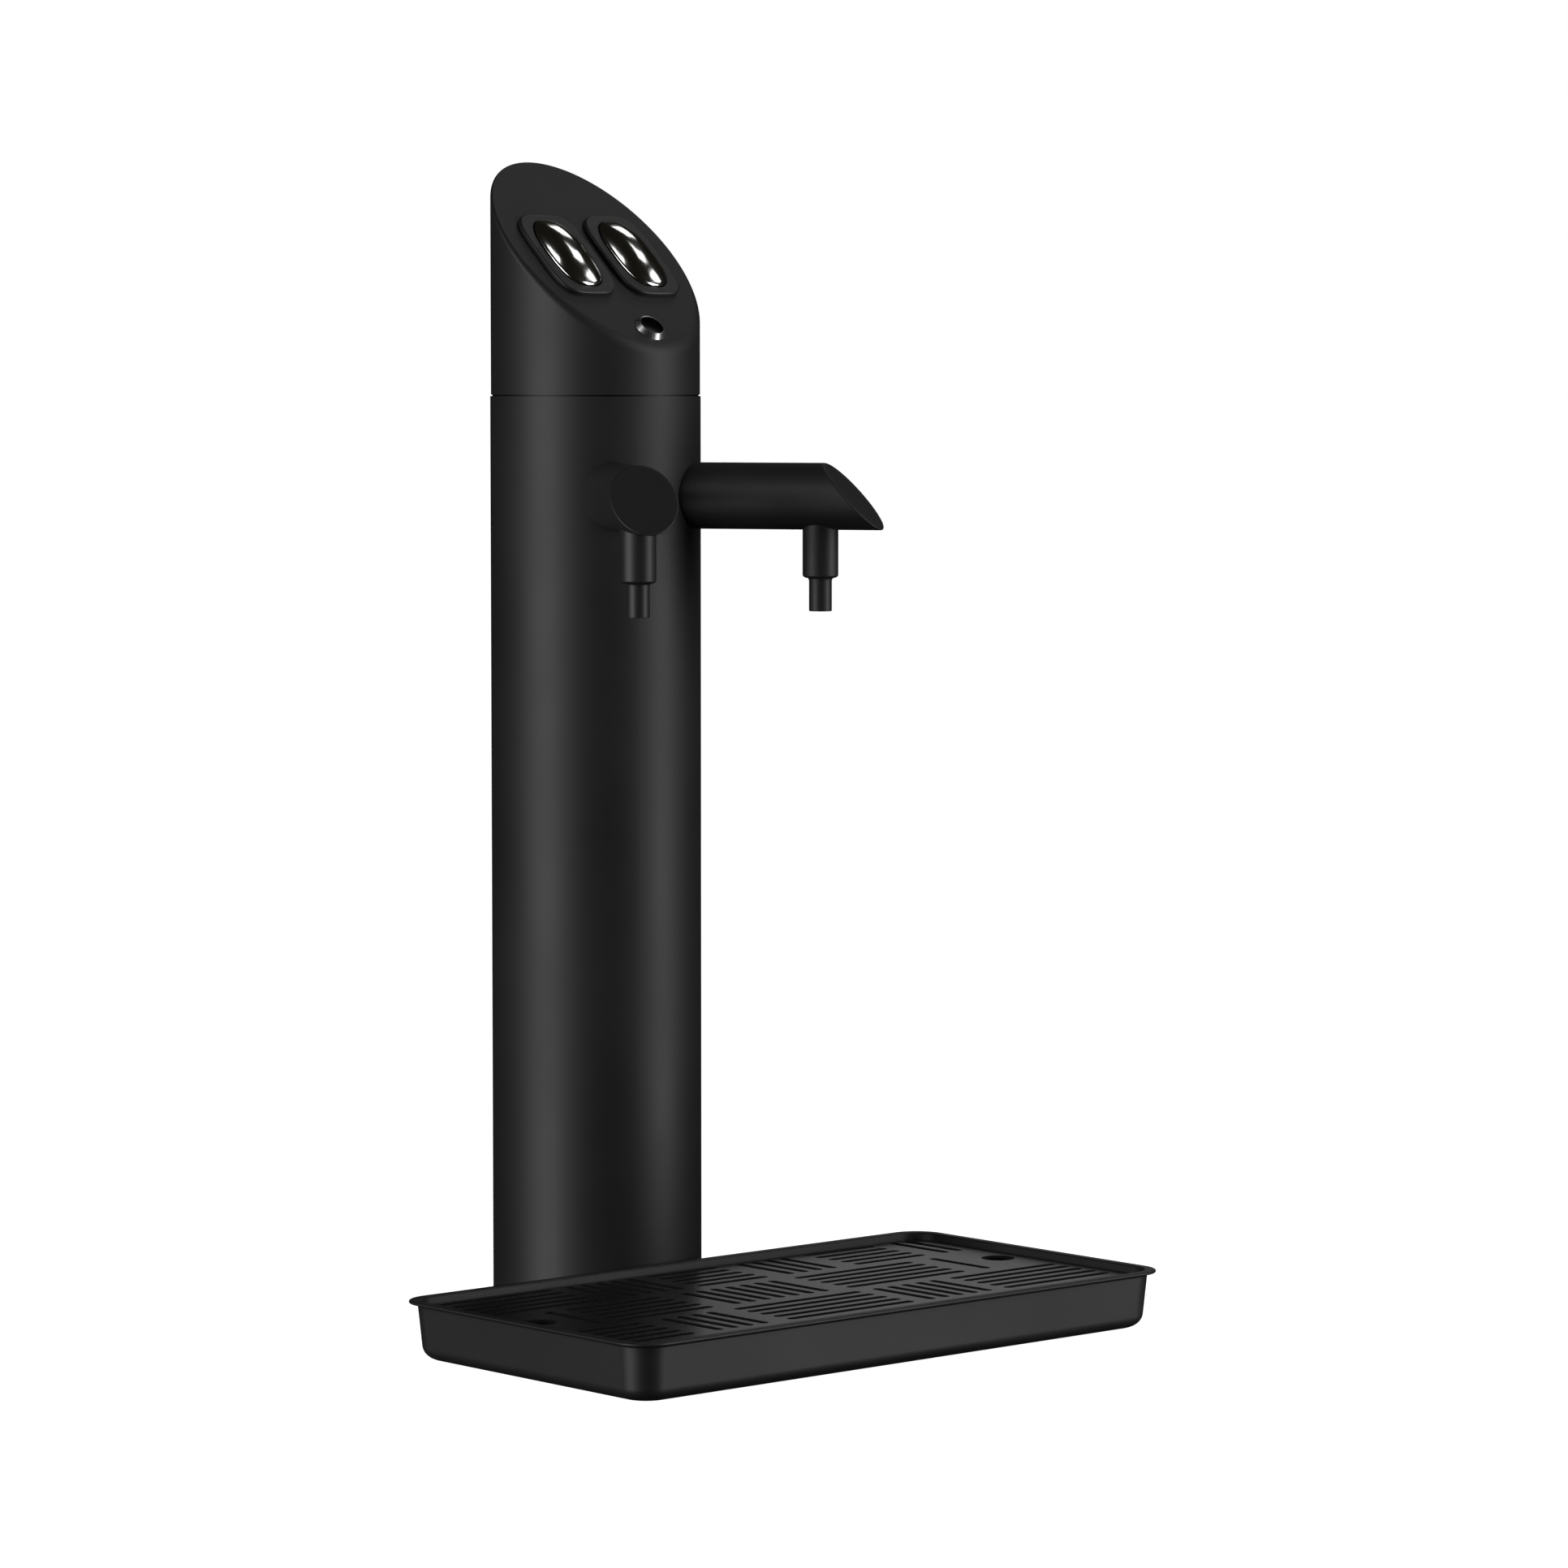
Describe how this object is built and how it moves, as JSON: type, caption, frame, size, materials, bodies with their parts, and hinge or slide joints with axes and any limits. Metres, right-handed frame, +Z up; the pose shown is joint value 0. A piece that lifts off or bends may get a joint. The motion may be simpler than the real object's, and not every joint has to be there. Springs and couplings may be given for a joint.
{
  "type": "countertop water dispenser",
  "caption": "Slim column water dispenser with a slanted control head, two chrome push-buttons, two fixed spouts in a V and a loose drip tray with a slotted grille.",
  "frame": {"origin": "centre of the base bolt circle, on the column's axis at the worktop", "axes": "+Z up along the column, -Y to the front where the spouts and the tray are, +X to the viewer's right"},
  "size_m": [0.29, 0.2442, 0.4898],
  "materials": {
    "painted_black": "matte powder coat",
    "satin_black": "satin powder coat",
    "grille_black": "satin powder coat",
    "outlet_black": "satin",
    "pad_black": "satin",
    "black_plastic": "matte",
    "chrome_trim": "polished",
    "dark_lens": "gloss",
    "clear_plastic": "clear",
    "steel": "machined",
    "black_anodised": "black anodised",
    "brass": "plain",
    "rubber": "matte",
    "white_plastic": "matte",
    "board_green": "solder mask"
  },
  "bodies": {
    "tower": {"base_seal": "rubber", "base_flange": "black_anodised", "base_set_screws": "steel", "column_tube": "painted_black", "joining_collar": "black_anodised", "head_cap": "painted_black", "head_screws": "black_anodised", "button_surround_left": "pad_black", "button_surround_right": "pad_black", "button_housing_left": "black_plastic", "button_housing_right": "black_plastic", "housing_screws": "steel", "button_spring_left": "steel", "button_spring_right": "steel", "switch_left": "black_plastic", "switch_right": "black_plastic", "control_board": "board_green", "board_screws": "steel", "indicator_bezel": "chrome_trim", "indicator_lens": "dark_lens", "light_pipe": "clear_plastic", "indicator_led": "clear_plastic", "board_connector": "white_plastic", "control_cable": "rubber", "cable_gland": "black_plastic", "inlet_fitting_left": "black_plastic", "inlet_fitting_right": "black_plastic", "water_hose_left": "white_plastic", "water_hose_right": "white_plastic", "spout_arm_left": "satin_black", "spout_arm_right": "satin_black", "spout_washer_left": "rubber", "spout_washer_right": "rubber", "spout_nut_left": "brass", "spout_nut_right": "brass", "spout_elbow_left": "white_plastic", "spout_elbow_right": "white_plastic", "nozzle_body_left": "outlet_black", "nozzle_body_right": "outlet_black", "nozzle_seal_left": "rubber", "nozzle_seal_right": "rubber", "nozzle_tip_left": "outlet_black", "nozzle_tip_right": "outlet_black"},
    "button_left": {"button_cap_left": "chrome_trim"},
    "button_right": {"button_cap_right": "chrome_trim"},
    "drip_tray": {"drip_tray_pan": "painted_black", "tray_feet": "rubber"},
    "grille": {"grille_plate": "grille_black", "grille_legs": "grille_black"}
  },
  "joints": [
    {"name": "button_left_press", "type": "slide", "parent": "tower", "child": "button_left", "axis": [0, 0.6691, -0.7431], "range_m": [0, 0.0025], "stiffness_N_per_m": 400, "springref_m": -0.002, "deforming": ["button_spring_left"]},
    {"name": "button_right_press", "type": "slide", "parent": "tower", "child": "button_right", "axis": [0, 0.6691, -0.7431], "range_m": [0, 0.0025], "stiffness_N_per_m": 400, "springref_m": -0.002, "deforming": ["button_spring_right"]},
    {"name": "tray_pull", "type": "slide", "parent": "tower", "child": "drip_tray", "axis": [0, -1, 0], "range_m": [0, 0.16]},
    {"name": "grille_lift", "type": "slide", "parent": "drip_tray", "child": "grille", "axis": [0, 0, 1], "range_m": [0, 0.06]}
  ]
}
